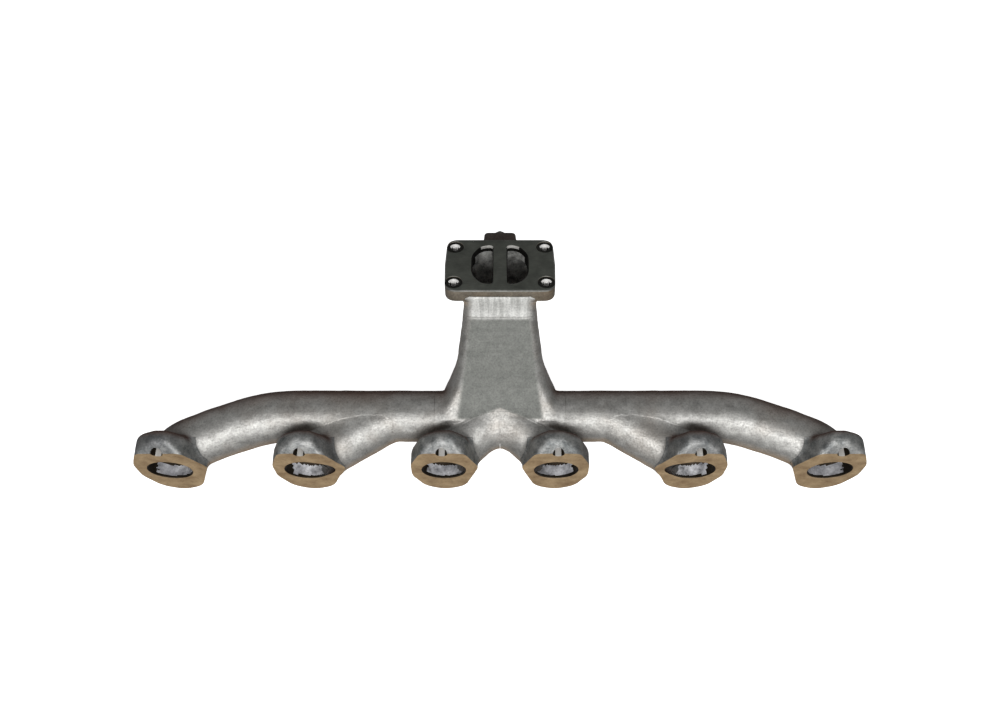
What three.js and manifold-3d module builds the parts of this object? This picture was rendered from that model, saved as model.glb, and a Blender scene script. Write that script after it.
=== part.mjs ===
// Divided exhaust manifold for an in-line six-cylinder diesel engine, with a central turbocharger flange.
// Units are millimetres, +Z is up. The origin lies on the cylinder-head joint plane, at the height of the
// port axes, midway between ports 3 and 4. +X runs along the engine and +Y points away from the head.
// Gas enters at six ports facing -Y and leaves through two D-shaped ports in the turbocharger flange.

import * as THREE from 'three';
import { mergeVertices } from 'three/addons/utils/BufferGeometryUtils.js';
import Module from 'manifold-3d';

const wasm = await Module();
wasm.setup();

// Driving dimensions
const PORT_PITCH = 130;        // between ports 1-2 and 2-3, and the same on the other side
const CENTRE_PITCH = 107;      // between ports 3 and 4
const BORE_RADIUS = 20.5;      // gas passage
const TUBE_RADIUS = 25;        // outside of the runners
const GAP = 0.3;               // clearance between neighbouring pieces
const ROUND_SIDES = 16;        // facets round a runner
const HOLE_SIDES = 12;         // facets round a small hole
const STEP_LENGTH = 20;        // spacing of the sections along a runner

const FLANGE_DEPTH = 22;       // port flange, head face to back
const FLANGE_TOP = 52;
const FLANGE_FACE_TOP = 42;    // top edge of the head face, below a sloping facet
const FLANGE_SLOPE_DEPTH = 8;  // depth of that facet
const FLANGE_BACK_ROUND = 3;   // rounding of the back edge
const FLANGE_REACHES = [38, 37, 33.5];   // how far flanges 1 to 3 lean towards the middle of the engine
const STUD_RADIUS = 5.5;       // clearance for an M10 stud
const STUD_Z = 41;             // the hole breaks out through the sloping facet

const ARM_Y = 51.7;            // axis of the straight part of the outer runners
const ARM_Z = 10;
const BARREL_HALF = 62;        // half length of the collector barrel
const WALL = TUBE_RADIUS - BORE_RADIUS;
const PORT_STRAIGHT = 3;       // round bore behind the head face, before the passage starts to turn

const TURBO_CENTRE = new THREE.Vector3(0, 149, 128);   // middle of the turbocharger face
const TURBO_TILT = THREE.MathUtils.degToRad(16.9);     // lean of its normal from +Z towards +Y
const TURBO_WIDTH = 100;
const TURBO_HEIGHT = 72;
const TURBO_CORNER = 11;
const TURBO_BOW = 1.2;         // outward bow of the two short sides
const TURBO_BOW_RADIUS = 30;
const TURBO_THICKNESS = 13;
const PATTERN_X = 82.5;        // bolt pattern of the turbocharger foot
const PATTERN_Y = 49.3;
const LAND_HALF = 6.6;         // half of the land between the D-shaped ports
const D_PORT_OUTER = 25;       // outermost reach of a D-shaped port
const D_PORT_HALF = 26.4;      // half height of a D-shaped port
const D_PORT_CHAMFER = 0.6;
const D_PORT_SHOULDER = 17;    // where its curved side begins
const D_PORT_OVERSHOOT = 0.4;  // of the curve's corner points beyond the outermost reach

const INSERT_RADIUS = 6.6;     // threaded insert
const INSERT_COLLAR = 7.8;
const INSERT_COLLAR_DEPTH = 1.6;
const INSERT_RECESS = 0.6;     // collar below the face
const INSERT_BORE = 3.4;       // M8 core
const INSERT_SINK = 4.9;       // mouth of the countersink

const BOSS_HALF = 14.5;        // boss for a probe, on the far edge of the turbocharger flange
const BOSS_REACH = 13.5;       // with the head of its plug
const BOSS_TAPER = 1.5;
const BOSS_ROUND = 4.5;        // corners of its top
const BOSS_THICKNESS = 11;
const BOSS_STEP = 1;           // boss below the face
const PLUG_ACROSS = 11;        // across the flats
const PLUG_HEAD = 2.4;
const PLUG_SHANK = 3.2;
const PLUG_LENGTH = 6;

const DIVIDER_HALF = 3;        // half thickness of the plate between the two gas streams
const NECK_SPLIT = 2;          // station at which the neck meets the collector
const DUCT_CORNER = 0.34;      // corner radius of the duct as a share of its half width and half depth

// Mid points of the outer runner, the branch and the inner runner on the engine's left side.
const PORT_1_X = -(CENTRE_PITCH / 2 + 2 * PORT_PITCH);
const PORT_2_X = -(CENTRE_PITCH / 2 + PORT_PITCH);
const PORT_3_X = -CENTRE_PITCH / 2;
const OUTER_ROUTE = [
  [PORT_1_X, -PORT_STRAIGHT, 0], [PORT_1_X, PORT_STRAIGHT, 0], [PORT_1_X + 2, 12, 1], [-301.2, 22.4, 4],
  [-284, 30, 5.5], [-266.2, 36.9, 7], [-237.4, 46.1, 9], [-216.8, 50.4, ARM_Z], [-193.8, ARM_Y, ARM_Z],
  [-120, ARM_Y, ARM_Z], [-BARREL_HALF - GAP, ARM_Y, ARM_Z],
];
const BRANCH_ROUTE = [
  [PORT_2_X, -PORT_STRAIGHT, 0], [PORT_2_X, PORT_STRAIGHT, 0], [PORT_2_X + 6, 10, 1], [-162.3, 20.2, 3],
  [-139.8, 32.9, 6], [-117.2, 45.8, 9], [-104, ARM_Y, ARM_Z],
];
const INNER_ROUTE = [
  [PORT_3_X, -PORT_STRAIGHT, 0], [PORT_3_X, PORT_STRAIGHT, 0], [PORT_3_X + 4, 11, 1], [-40.1, 22.5, 3],
  [-29.3, 32.4, 6], [-18.1, 42.8, 9], [-12, ARM_Y, ARM_Z + 1],
];

// The neck and collector duct, from the turbocharger flange down into the barrel. Each station has the
// (y, z) of its front wall and of its back wall, and its half width.
const DUCT = [
  { front: [111.2, 125.9], back: [176.3, 106.2], half: 32.3 },
  { front: [109.9, 116.3], back: [172.8, 95.0], half: 32.4 },
  { front: [105.5, 107.2], back: [162.0, 77.0], half: 33.2 },
  { front: [92.0, 89.5], back: [145.5, 55.5], half: 35.8 },
  { front: [76.0, 68.4], back: [127.0, 33.0], half: 39.5 },
  { front: [64.0, 53.0], back: [112.0, 16.5], half: 43.2 },
  { front: [54.0, 43.0], back: [99.0, 4.5], half: 50.2 },
  { front: [47.0, 36.8], back: [86.0, -4.0], half: 56.5 },
  { front: [41.0, 31.5], back: [68.5, -5.0], half: 59.2 },
];

const FAR = 400;               // beyond every part of the manifold
const MERGE_DISTANCE = 1e-3;   // corners nearer than this are one corner
const SHARP = 0.1;             // radius of a corner that is left sharp

// Finishes
const castIron = () => new THREE.MeshStandardMaterial({ color: 0x7c7975, roughness: 0.55, metalness: 0.75 });
const darkIron = () => new THREE.MeshStandardMaterial({ color: 0x3a3c37, roughness: 0.6, metalness: 0.6 });
const brightSteel = () => new THREE.MeshStandardMaterial({ color: 0xd0d0cc, roughness: 0.3, metalness: 1.0 });

// Solids

function toSolid(geometry) {
  const bare = geometry.clone();
  bare.deleteAttribute('normal');
  bare.deleteAttribute('uv');
  const merged = mergeVertices(bare, MERGE_DISTANCE);
  const mesh = new wasm.Mesh({
    numProp: 3,
    vertProperties: Float32Array.from(merged.attributes.position.array),
    triVerts: Uint32Array.from(merged.index.array),
  });
  return new wasm.Manifold(mesh);
}

function toGeometry(solid) {
  const { vertProperties, triVerts } = solid.getMesh();
  const geometry = new THREE.BufferGeometry();
  geometry.setAttribute('position', new THREE.BufferAttribute(vertProperties, 3));
  geometry.setIndex(new THREE.BufferAttribute(triVerts, 1));
  return geometry;
}

// A mirror image across the plane x = 0, with its faces turned out again.
function mirrored(geometry) {
  const copy = geometry.clone();
  copy.scale(-1, 1, 1);
  const index = copy.index.array;
  for (let i = 0; i < index.length; i += 3) {
    [index[i], index[i + 1]] = [index[i + 1], index[i]];
  }
  return copy;
}

const mirroredSolid = (solid) => toSolid(mirrored(toGeometry(solid)));

function unite(solids) {
  return solids.reduce((sum, solid) => sum.add(solid));
}

function box(low, high) {
  const geometry = new THREE.BoxGeometry(high[0] - low[0], high[1] - low[1], high[2] - low[2]);
  geometry.translate((high[0] + low[0]) / 2, (high[1] + low[1]) / 2, (high[2] + low[2]) / 2);
  return toSolid(geometry);
}

// A closed round bar along a curve through the points.
function tube(points, radius) {
  const circle = new THREE.Shape();
  circle.absarc(0, 0, radius, 0, 2 * Math.PI);
  const path = new THREE.CatmullRomCurve3(points.map((p) => new THREE.Vector3(...p)), false, 'centripetal');
  const steps = Math.ceil(path.getLength() / STEP_LENGTH);
  return toSolid(new THREE.ExtrudeGeometry(circle, {
    steps, curveSegments: ROUND_SIDES / 2, extrudePath: path, bevelEnabled: false,
  }));
}

// A polygon with each corner rounded to its own radius: points are [x, y, radius].
function roundedOutline(points) {
  const shape = new THREE.Shape();
  points.forEach(([x, y, radius], i) => {
    const corner = new THREE.Vector2(x, y);
    const before = new THREE.Vector2(...points.at(i - 1));
    const after = new THREE.Vector2(...points[(i + 1) % points.length]);
    const toBefore = before.sub(corner).normalize();
    const toAfter = after.sub(corner).normalize();
    const reach = radius / Math.tan(Math.acos(toBefore.dot(toAfter)) / 2);
    const start = corner.clone().addScaledVector(toBefore, reach);
    const end = corner.clone().addScaledVector(toAfter, reach);
    if (i === 0) {
      shape.moveTo(start.x, start.y);
    } else {
      shape.lineTo(start.x, start.y);
    }
    shape.quadraticCurveTo(corner.x, corner.y, end.x, end.y);
  });
  shape.closePath();
  return shape;
}

// Swapping two corners of every triangle turns its faces over, after a mapping that mirrored them.
function turnedOut(geometry) {
  const position = geometry.attributes.position;
  for (let i = 0; i < position.count; i += 3) {
    const a = new THREE.Vector3().fromBufferAttribute(position, i);
    const b = new THREE.Vector3().fromBufferAttribute(position, i + 1);
    position.setXYZ(i, b.x, b.y, b.z);
    position.setXYZ(i + 1, a.x, a.y, a.z);
  }
  return geometry;
}

// Port flanges

// The outline leans towards the middle of the engine, where the runner leaves. The reach is that corner's
// distance from the port's axis.
const flangeOutline = (reach) => roundedOutline([
  [-4, FLANGE_TOP, 10], [-20, 43, 14], [-31, 13, 34], [-31, -14, 34], [-20, -42, 26], [-1, -53, 18],
  [20, -42, 24], [reach, 8, 13], [22, 40, 12], [11, FLANGE_TOP, 10],
]);

// The block is the outline drawn back from the head face. A facet slopes down to the face's top edge, and
// the back edge is rounded. Every wall is moved out by grow.
function flangeBlock(portX, reach, grow) {
  const layers = [0, FLANGE_SLOPE_DEPTH, FLANGE_DEPTH - FLANGE_BACK_ROUND, FLANGE_DEPTH - 1, FLANGE_DEPTH];
  const insets = [0, 0, 0, 0.4 * FLANGE_BACK_ROUND, FLANGE_BACK_ROUND];
  const ends = layers.length - 1;
  const geometry = new THREE.ExtrudeGeometry(flangeOutline(reach), {
    depth: 1, steps: ends, curveSegments: 3, bevelEnabled: false,
  });
  const position = geometry.attributes.position;
  for (let i = 0; i < position.count; i += 1) {
    const layer = Math.round(position.getZ(i) * ends);
    const size = 1 + (grow - insets[layer]) / FLANGE_TOP;
    const top = layer === 0 ? FLANGE_FACE_TOP : FLANGE_TOP;
    const z = Math.min(position.getY(i), top) * size;
    const y = layers[layer] + (layer === ends ? grow : 0);
    position.setXYZ(i, portX + position.getX(i) * size, y, z);
  }
  return toSolid(turnedOut(geometry));
}

// The hole of one stud, cut through the flange and out of its sloping facet.
function studHole(x, z) {
  const geometry = new THREE.CylinderGeometry(STUD_RADIUS, STUD_RADIUS, 2 * FLANGE_DEPTH + 2, HOLE_SIDES);
  geometry.translate(x, 0, z);
  return toSolid(geometry);
}

function portFlange(portX, reach, passage) {
  return flangeBlock(portX, reach, 0).subtract(unite([studHole(portX, STUD_Z), passage]));
}

// Neck, collector and divider

// A duct lofted through the stations from first to last, with every wall moved out by grow and both ends
// by endGrow.
function duct(first, last, grow, endGrow = 0) {
  const stations = DUCT.slice(first, last + 1);
  const count = stations.length - 1;
  const section = roundedOutline([
    [-1, -1, DUCT_CORNER], [1, -1, DUCT_CORNER], [1, 1, DUCT_CORNER], [-1, 1, DUCT_CORNER],
  ]);
  const geometry = new THREE.ExtrudeGeometry(section, {
    depth: 1, steps: count, curveSegments: 5, bevelEnabled: false,
  });
  const position = geometry.attributes.position;
  for (let i = 0; i < position.count; i += 1) {
    const index = Math.round(position.getZ(i) * count);
    const { front, back, half } = stations[index];
    const across = new THREE.Vector2(back[0] - front[0], back[1] - front[1]);
    const halfDepth = across.length() / 2;
    across.normalize();
    const middle = new THREE.Vector2((back[0] + front[0]) / 2, (back[1] + front[1]) / 2);
    middle.addScaledVector(across, position.getY(i) * (halfDepth + grow));
    const along = new THREE.Vector2(across.y, -across.x);
    if (index === 0) {
      middle.addScaledVector(along, -endGrow);
    }
    if (index === count) {
      middle.addScaledVector(along, endGrow);
    }
    position.setXYZ(i, position.getX(i) * (half + grow), middle.x, middle.y);
  }
  return toSolid(turnedOut(geometry));
}

// The collector barrel carries on the axis of the outer runners.
function barrel(half, radius) {
  return tube([[-half, ARM_Y, ARM_Z], [0, ARM_Y, ARM_Z], [half, ARM_Y, ARM_Z]], radius);
}

// Turbocharger flange and what is fixed to it. These are drawn in the flange's own plane: x across it, y up it
// and z out of its face.

function onTurboFace(geometry) {
  geometry.rotateX(-TURBO_TILT);
  geometry.translate(TURBO_CENTRE.x, TURBO_CENTRE.y, TURBO_CENTRE.z);
  return toSolid(geometry);
}

function plate(shape, low, high) {
  const geometry = new THREE.ExtrudeGeometry(shape, {
    depth: high - low, curveSegments: 4, bevelEnabled: false,
  });
  geometry.translate(0, 0, low);
  return geometry;
}

function dPortOutline() {
  const reach = D_PORT_OUTER + D_PORT_OVERSHOOT;
  const knee = D_PORT_HALF / 2;
  return roundedOutline([
    [LAND_HALF, -D_PORT_HALF, 3], [D_PORT_SHOULDER, -D_PORT_HALF, 13], [reach, -knee, 22],
    [reach, knee, 22], [D_PORT_SHOULDER, D_PORT_HALF, 13], [LAND_HALF, D_PORT_HALF, 3],
  ]);
}

// The passage of one D-shaped port, with a flared mouth.
function dPort() {
  const through = onTurboFace(plate(dPortOutline(), -TURBO_THICKNESS - 2, 1));
  const mouth = plate(dPortOutline(), -D_PORT_CHAMFER, D_PORT_CHAMFER);
  const middleX = (LAND_HALF + D_PORT_OUTER) / 2;
  const position = mouth.attributes.position;
  for (let i = 0; i < position.count; i += 1) {
    if (position.getZ(i) > 0) {
      const x = position.getX(i) - middleX;
      const y = position.getY(i);
      const flare = 2 * D_PORT_CHAMFER;
      position.setXY(i, middleX + x + Math.sign(x) * flare, y + Math.sign(y) * flare);
    }
  }
  return through.add(onTurboFace(mouth));
}

const INSERT_PLACES = [
  [-PATTERN_X / 2, PATTERN_Y / 2], [PATTERN_X / 2, PATTERN_Y / 2],
  [-PATTERN_X / 2, -PATTERN_Y / 2], [PATTERN_X / 2, -PATTERN_Y / 2],
];

function turboFlange() {
  const halfWidth = TURBO_WIDTH / 2;
  const halfHeight = TURBO_HEIGHT / 2;
  const outline = roundedOutline([
    [-halfWidth + TURBO_BOW, -halfHeight, TURBO_CORNER], [halfWidth - TURBO_BOW, -halfHeight, TURBO_CORNER],
    [halfWidth, 0, TURBO_BOW_RADIUS], [halfWidth - TURBO_BOW, halfHeight, TURBO_CORNER],
    [-halfWidth + TURBO_BOW, halfHeight, TURBO_CORNER], [-halfWidth, 0, TURBO_BOW_RADIUS],
  ]);
  const port = dPort();
  const seats = INSERT_PLACES.map((place) => threadedSeat(place));
  const openings = unite([port, mirroredSolid(port), ...seats]);
  return onTurboFace(plate(outline, -TURBO_THICKNESS, 0)).subtract(openings);
}

// A body turned about an axis that stands on the flange at (x, y), from its profile of [radius, height].
function turned(profile, [x, y]) {
  const points = profile.map(([radius, height]) => new THREE.Vector2(radius, height));
  const geometry = new THREE.LatheGeometry([...points, points[0]], HOLE_SIDES);
  geometry.rotateX(Math.PI / 2);
  geometry.translate(x, y, 0);
  return onTurboFace(geometry);
}

// A hole for an insert, with a wider recess for its collar.
function threadedSeat(place) {
  const shelf = -INSERT_RECESS - INSERT_COLLAR_DEPTH - GAP;
  const bottom = -TURBO_THICKNESS - 1;
  return turned([
    [0, bottom], [INSERT_RADIUS + GAP, bottom], [INSERT_RADIUS + GAP, shelf],
    [INSERT_COLLAR + GAP, shelf], [INSERT_COLLAR + GAP, 1], [0, 1],
  ], place);
}

function threadedInsert(place) {
  const top = -INSERT_RECESS;
  const bottom = -TURBO_THICKNESS + GAP;
  const shelf = top - INSERT_COLLAR_DEPTH;
  return turned([
    [INSERT_BORE, bottom], [INSERT_RADIUS, bottom], [INSERT_RADIUS, shelf], [INSERT_COLLAR, shelf],
    [INSERT_COLLAR, top], [INSERT_SINK, top], [INSERT_BORE, top - (INSERT_SINK - INSERT_BORE)],
  ], place);
}

// A boss on the far edge of the flange, with a plug that stands on its top.
const BOSS_FOOT = TURBO_HEIGHT / 2 + GAP;
const BOSS_SEAT = BOSS_FOOT + BOSS_REACH - PLUG_HEAD;

function probeBoss() {
  const topHalf = BOSS_HALF - BOSS_TAPER;
  const outline = roundedOutline([
    [-BOSS_HALF, BOSS_FOOT, SHARP], [BOSS_HALF, BOSS_FOOT, SHARP],
    [topHalf, BOSS_SEAT, BOSS_ROUND], [-topHalf, BOSS_SEAT, BOSS_ROUND],
  ]);
  const bore = upright(PLUG_SHANK + GAP, BOSS_SEAT - PLUG_LENGTH - GAP, BOSS_SEAT + 1, HOLE_SIDES);
  return onTurboFace(plate(outline, -BOSS_THICKNESS - BOSS_STEP, -BOSS_STEP)).subtract(onTurboFace(bore));
}

function probePlug() {
  const head = upright(PLUG_ACROSS / Math.sqrt(3), BOSS_SEAT + GAP, BOSS_SEAT + PLUG_HEAD, 6);
  const shank = upright(PLUG_SHANK, BOSS_SEAT - PLUG_LENGTH, BOSS_SEAT + 1, HOLE_SIDES);
  return onTurboFace(head).add(onTurboFace(shank));
}

// A round or six-sided bar standing along the flange's y, in the middle of the boss.
function upright(radius, low, high, sides) {
  const geometry = new THREE.CylinderGeometry(radius, radius, high - low, sides);
  geometry.rotateY(Math.PI / 6);
  geometry.translate(0, (low + high) / 2, -BOSS_STEP - BOSS_THICKNESS / 2);
  return geometry;
}

// Assembly

const leftOf = (x) => box([-FAR, -FAR, -FAR], [x, FAR, FAR]);
const inFrontOf = (y) => box([-FAR, -FAR, -FAR], [FAR, y, FAR]);
const slab = (half) => box([-half, -FAR, -FAR], [half, FAR, FAR]);

const last = DUCT.length - 1;
const routes = [OUTER_ROUTE, BRANCH_ROUTE, INNER_ROUTE];
const [outerBar, branchBar, innerBar] = routes.map((route) => tube(route, TUBE_RADIUS));
const outerBarGrown = tube(OUTER_ROUTE, TUBE_RADIUS + GAP);
const collectorHull = barrel(BARREL_HALF, TUBE_RADIUS).add(duct(NECK_SPLIT, last, 0, -GAP / 2));
const collectorHullGrown = barrel(BARREL_HALF + GAP, TUBE_RADIUS + GAP).add(duct(NECK_SPLIT, last, GAP));

const cavity = barrel(BARREL_HALF + 1, BORE_RADIUS).add(duct(0, last, -WALL, 1));
const leftPassage = unite([cavity, ...routes.map((route) => tube(route, BORE_RADIUS))])
  .intersect(leftOf(-DIVIDER_HALF - GAP));
const dividerSlot = cavity.intersect(slab(DIVIDER_HALF + 2 * GAP));
const passages = unite([leftPassage, mirroredSolid(leftPassage), dividerSlot]);

const ports = [PORT_1_X, PORT_2_X, PORT_3_X].map((x, i) => [x, FLANGE_REACHES[i]]);
const blocksGrown = ports.map(([x, reach]) => flangeBlock(x, reach, GAP).add(inFrontOf(PORT_STRAIGHT)));

const innerRunner = innerBar
  .subtract(unite([leftPassage, blocksGrown[2], outerBarGrown, collectorHullGrown]))
  .intersect(leftOf(-GAP / 2));
const leftPieces = {
  port_flange_1: [portFlange(...ports[0], leftPassage), castIron()],
  port_flange_2: [portFlange(...ports[1], leftPassage), castIron()],
  port_flange_3: [portFlange(...ports[2], leftPassage), castIron()],
  runner_1: [outerBar.subtract(unite([leftPassage, blocksGrown[0]])), castIron()],
  runner_2: [branchBar.subtract(unite([leftPassage, blocksGrown[1], outerBarGrown])), castIron()],
  runner_3: [innerRunner, castIron()],
};

const group = new THREE.Group();

function addMesh(name, geometry, material) {
  const flat = geometry.toNonIndexed();
  flat.computeVertexNormals();
  const mesh = new THREE.Mesh(flat, material);
  mesh.name = name;
  group.add(mesh);
}

for (const [name, [solid, material]] of Object.entries(leftPieces)) {
  const geometry = toGeometry(solid);
  const number = Number(name.at(-1));
  addMesh(name, geometry, material);
  addMesh(name.replace(String(number), String(7 - number)), mirrored(geometry), material.clone());
}

const collector = collectorHull.subtract(passages);
const upperHalf = box([-FAR, -FAR, ARM_Z + GAP / 2], [FAR, FAR, FAR]);
const lowerHalf = box([-FAR, -FAR, -FAR], [FAR, FAR, ARM_Z - GAP / 2]);
const streams = barrel(BARREL_HALF, BORE_RADIUS - GAP).add(duct(0, last, -WALL - GAP, -GAP));
addMesh('collector_upper', toGeometry(collector.intersect(upperHalf)), castIron());
addMesh('collector_lower', toGeometry(collector.intersect(lowerHalf)), castIron());
addMesh('turbo_neck', toGeometry(duct(0, NECK_SPLIT, 0, -GAP / 2).subtract(passages)), castIron());
addMesh('flow_divider', toGeometry(streams.intersect(slab(DIVIDER_HALF))), castIron());
addMesh('turbo_flange', toGeometry(turboFlange()), darkIron());
INSERT_PLACES.forEach((place, i) => {
  addMesh(`threaded_insert_${i + 1}`, toGeometry(threadedInsert(place)), brightSteel());
});
addMesh('probe_boss', toGeometry(probeBoss()), darkIron());
addMesh('probe_plug', toGeometry(probePlug()), brightSteel());

export default group;
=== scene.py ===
import math

import bmesh
import bpy
import numpy as np
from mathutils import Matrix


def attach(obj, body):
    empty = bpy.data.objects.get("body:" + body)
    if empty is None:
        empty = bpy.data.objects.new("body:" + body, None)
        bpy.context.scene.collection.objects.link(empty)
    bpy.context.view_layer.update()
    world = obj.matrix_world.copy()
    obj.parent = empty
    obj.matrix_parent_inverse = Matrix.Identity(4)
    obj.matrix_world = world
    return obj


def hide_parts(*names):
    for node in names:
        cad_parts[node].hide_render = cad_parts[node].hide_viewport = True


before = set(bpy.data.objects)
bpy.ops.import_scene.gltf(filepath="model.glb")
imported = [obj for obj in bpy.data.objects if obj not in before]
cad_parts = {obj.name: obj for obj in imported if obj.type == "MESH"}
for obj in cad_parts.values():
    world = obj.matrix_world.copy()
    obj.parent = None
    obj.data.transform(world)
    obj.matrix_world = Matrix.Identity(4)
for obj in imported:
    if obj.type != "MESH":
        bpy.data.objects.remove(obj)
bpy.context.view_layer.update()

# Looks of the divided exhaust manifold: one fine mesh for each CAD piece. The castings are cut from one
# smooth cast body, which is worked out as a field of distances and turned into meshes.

import openvdb as vdb
from mathutils import Vector

MM = 0.001
FINE = "_fine"                   # ending of the name of a piece that stands for a CAD node

# ---------- Dimensions in millimetres ----------

# Most are the CAD part's. The rest shape the skin of the castings.

LATTICE = 1.25                   # spacing of the points at which the cast body is worked out
FLANGE_LATTICE = 0.8             # the same for the port flanges
SHRINK = 0.25                    # how far the cast skin lies inside the nominal one before its unevenness
BLOCK_MARGIN = 1.2               # how far a port flange reaches into the fillets round it
CUT_MARGIN = 0.15                # how far a joint lies outside the nominal skin
COLLECTOR_MARGIN = 1.3           # the same for the joint between the collector and the inner runners
ARM_JOIN = -245.0                # from here outwards all belongs to the outer runner
BORE_RADIUS = 20.5
TUBE_RADIUS = 25.0
WALL = TUBE_RADIUS - BORE_RADIUS
SEAM = 0.12                      # half of the gap between two neighbouring pieces
PORTS = {1: (-313.5, 38.0), 2: (-183.5, 37.0), 3: (-53.5, 33.5)}     # number: x, and reach of the outline
FLANGE_DEPTH = 22.0
FLANGE_TOP = 52.0
FLANGE_FACE_TOP = 42.0
FLANGE_SLOPE_DEPTH = 8.0
FLANGE_ROUND = 9.0
STUD_RADIUS = 5.5
STUD_Z = 41.0
ARM_Y = 51.7
ARM_Z = 10.0
BARREL_HALF = 62.0

TURBO_CENTRE = np.array([0.0, 149.0, 128.0])
TURBO_TILT = math.radians(16.9)
TURBO_NORMAL = np.array([0.0, math.sin(TURBO_TILT), math.cos(TURBO_TILT)])
TURBO_UP = np.array([0.0, math.cos(TURBO_TILT), -math.sin(TURBO_TILT)])
TURBO_HALF = (50.0, 36.0)
TURBO_THICKNESS = 13.0
TURBO_CORNER, TURBO_BOW, TURBO_BOW_RADIUS = 11.0, 1.2, 30.0
PATTERN = (82.5, 49.3)
LAND_HALF, D_PORT_OUTER, D_PORT_HALF, D_PORT_CHAMFER = 6.6, 25.0, 26.4, 0.6
D_PORT_SHOULDER, D_PORT_OVERSHOOT = 17.0, 0.4

INSERT_RADIUS, INSERT_COLLAR, INSERT_COLLAR_DEPTH = 6.6, 7.8, 1.6
INSERT_RECESS, INSERT_BORE, INSERT_SINK, THREAD_PITCH = 0.6, 3.4, 4.9, 1.25

BOSS_HALF, BOSS_REACH, BOSS_THICKNESS, BOSS_STEP, BOSS_TAPER, BOSS_ROUND = 15.2, 13.5, 11.0, 1.0, 0.9, 4.5
PLUG_ACROSS, PLUG_HEAD, PLUG_SHANK, PLUG_LENGTH = 11.0, 2.4, 3.2, 6.0

DIVIDER_HALF, DIVIDER_GAP = 3.0, 0.3

ROUTES = {
    1: [(-313.5, -3, 0), (-313.5, 3, 0), (-311.5, 12, 1), (-301.2, 22.4, 4), (-284, 30, 5.5),
        (-266.2, 36.9, 7), (-237.4, 46.1, 9), (-216.8, 50.4, ARM_Z), (-193.8, ARM_Y, ARM_Z),
        (-120, ARM_Y, ARM_Z), (-BARREL_HALF, ARM_Y, ARM_Z)],
    2: [(-183.5, -3, 0), (-183.5, 3, 0), (-177.5, 10, 1), (-162.3, 20.2, 3), (-139.8, 32.9, 6),
        (-117.2, 45.8, 9), (-104, ARM_Y, ARM_Z)],
    3: [(-53.5, -3, 0), (-53.5, 3, 0), (-49.5, 11, 1), (-40.1, 22.5, 3), (-29.3, 32.4, 6), (-18.1, 42.8, 9),
        (-12, ARM_Y, ARM_Z + 1)],
}

# Front wall (y, z), back wall (y, z) and half width of the duct, from inside the turbocharger flange down.
DUCT = [
    (112.6, 136.5, 180.2, 118.9, 32.3),
    (111.2, 125.9, 176.3, 106.2, 32.3),
    (109.9, 116.3, 172.8, 95.0, 32.4),
    (105.5, 107.2, 162.0, 77.0, 33.2),
    (92.0, 89.5, 145.5, 55.5, 35.8),
    (76.0, 68.4, 127.0, 33.0, 39.5),
    (64.0, 53.0, 112.0, 16.5, 43.2),
    (54.0, 43.0, 99.0, 4.5, 50.2),
    (47.0, 36.8, 86.0, -4.0, 56.5),
    (41.0, 31.5, 68.5, -5.0, 59.2),
]
NECK_SPLIT = 3                   # row of DUCT where the neck meets the collector
DUCT_CORNER = 10.0
FAR = 600.0                      # beyond every part of the manifold

# The neck's flare, or apron, on the near side of the turbocharger flange; heights are out from its face.
APRON_TOP, APRON_FOOT = -8.0, -36.0
APRON_START, APRON_SPAN = -28.0, 22.0            # height at which the flare begins, and its length
APRON_FRONT, APRON_FLARE = -33.6, 4.6            # place of the wall, and how far the flare carries it out
APRON_HALF, APRON_SPREAD = 32.0, 3.5             # half width, and how much wider it gets
PLATE_INSET = (4.0, 3.0)         # how far the underside that the neck runs into lies inside the flange

# How softly the parts of the cast body run into one another
CROWN_FILLET, DUCT_FILLET, PLATE_FILLET, APRON_FILLET = 16.0, 5.0, 6.0, 4.0
BLOCK_FILLET, PASSAGE_FILLET, SLOPE_ROUND = 5.0, 3.0, 4.0

# The unevenness of the cast skin: height, wavelength and seed
SWELL, RIPPLE = (0.17, 26.0, 11), (0.08, 8.0, 12)

UNSET = 1e8                      # longer than any distance

# ---------- Curves and outlines ----------


def catmull_rom(points, per_span):
    """Centripetal Catmull-Rom curve through the points."""
    p = np.asarray(points, float)
    p = np.vstack([2 * p[0] - p[1], p, 2 * p[-1] - p[-2]])
    spans = []
    for p0, p1, p2, p3 in zip(p, p[1:], p[2:], p[3:]):
        t1 = math.sqrt(np.linalg.norm(p1 - p0))
        t2 = t1 + math.sqrt(np.linalg.norm(p2 - p1))
        t3 = t2 + math.sqrt(np.linalg.norm(p3 - p2))
        t = np.linspace(t1, t2, per_span, endpoint=False)[:, None]
        a1 = ((t1 - t) * p0 + t * p1) / t1
        a2 = ((t2 - t) * p1 + (t - t1) * p2) / (t2 - t1)
        a3 = ((t3 - t) * p2 + (t - t2) * p3) / (t3 - t2)
        b1 = ((t2 - t) * a1 + t * a2) / t2
        b2 = ((t3 - t) * a2 + (t - t1) * a3) / (t3 - t1)
        spans.append(((t2 - t) * b1 + (t - t1) * b2) / (t2 - t1))
    return np.vstack(spans + [p[-2:-1]])


def rounded_outline(corners, segments=8):
    """A closed outline in which each corner (x, y, reach) is replaced by a quadratic curve."""
    pts = []
    for i, (x, y, radius) in enumerate(corners):
        corner = np.array([x, y], float)
        before = np.array(corners[i - 1][:2], float) - corner
        after = np.array(corners[(i + 1) % len(corners)][:2], float) - corner
        before /= np.linalg.norm(before)
        after /= np.linalg.norm(after)
        reach = radius / math.tan(math.acos(float(before @ after)) / 2)
        start, end = corner + before * reach, corner + after * reach
        t = np.linspace(0, 1, segments + 1)[:, None]
        pts.append((1 - t) ** 2 * start + 2 * t * (1 - t) * corner + t ** 2 * end)
    return np.vstack(pts)


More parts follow.
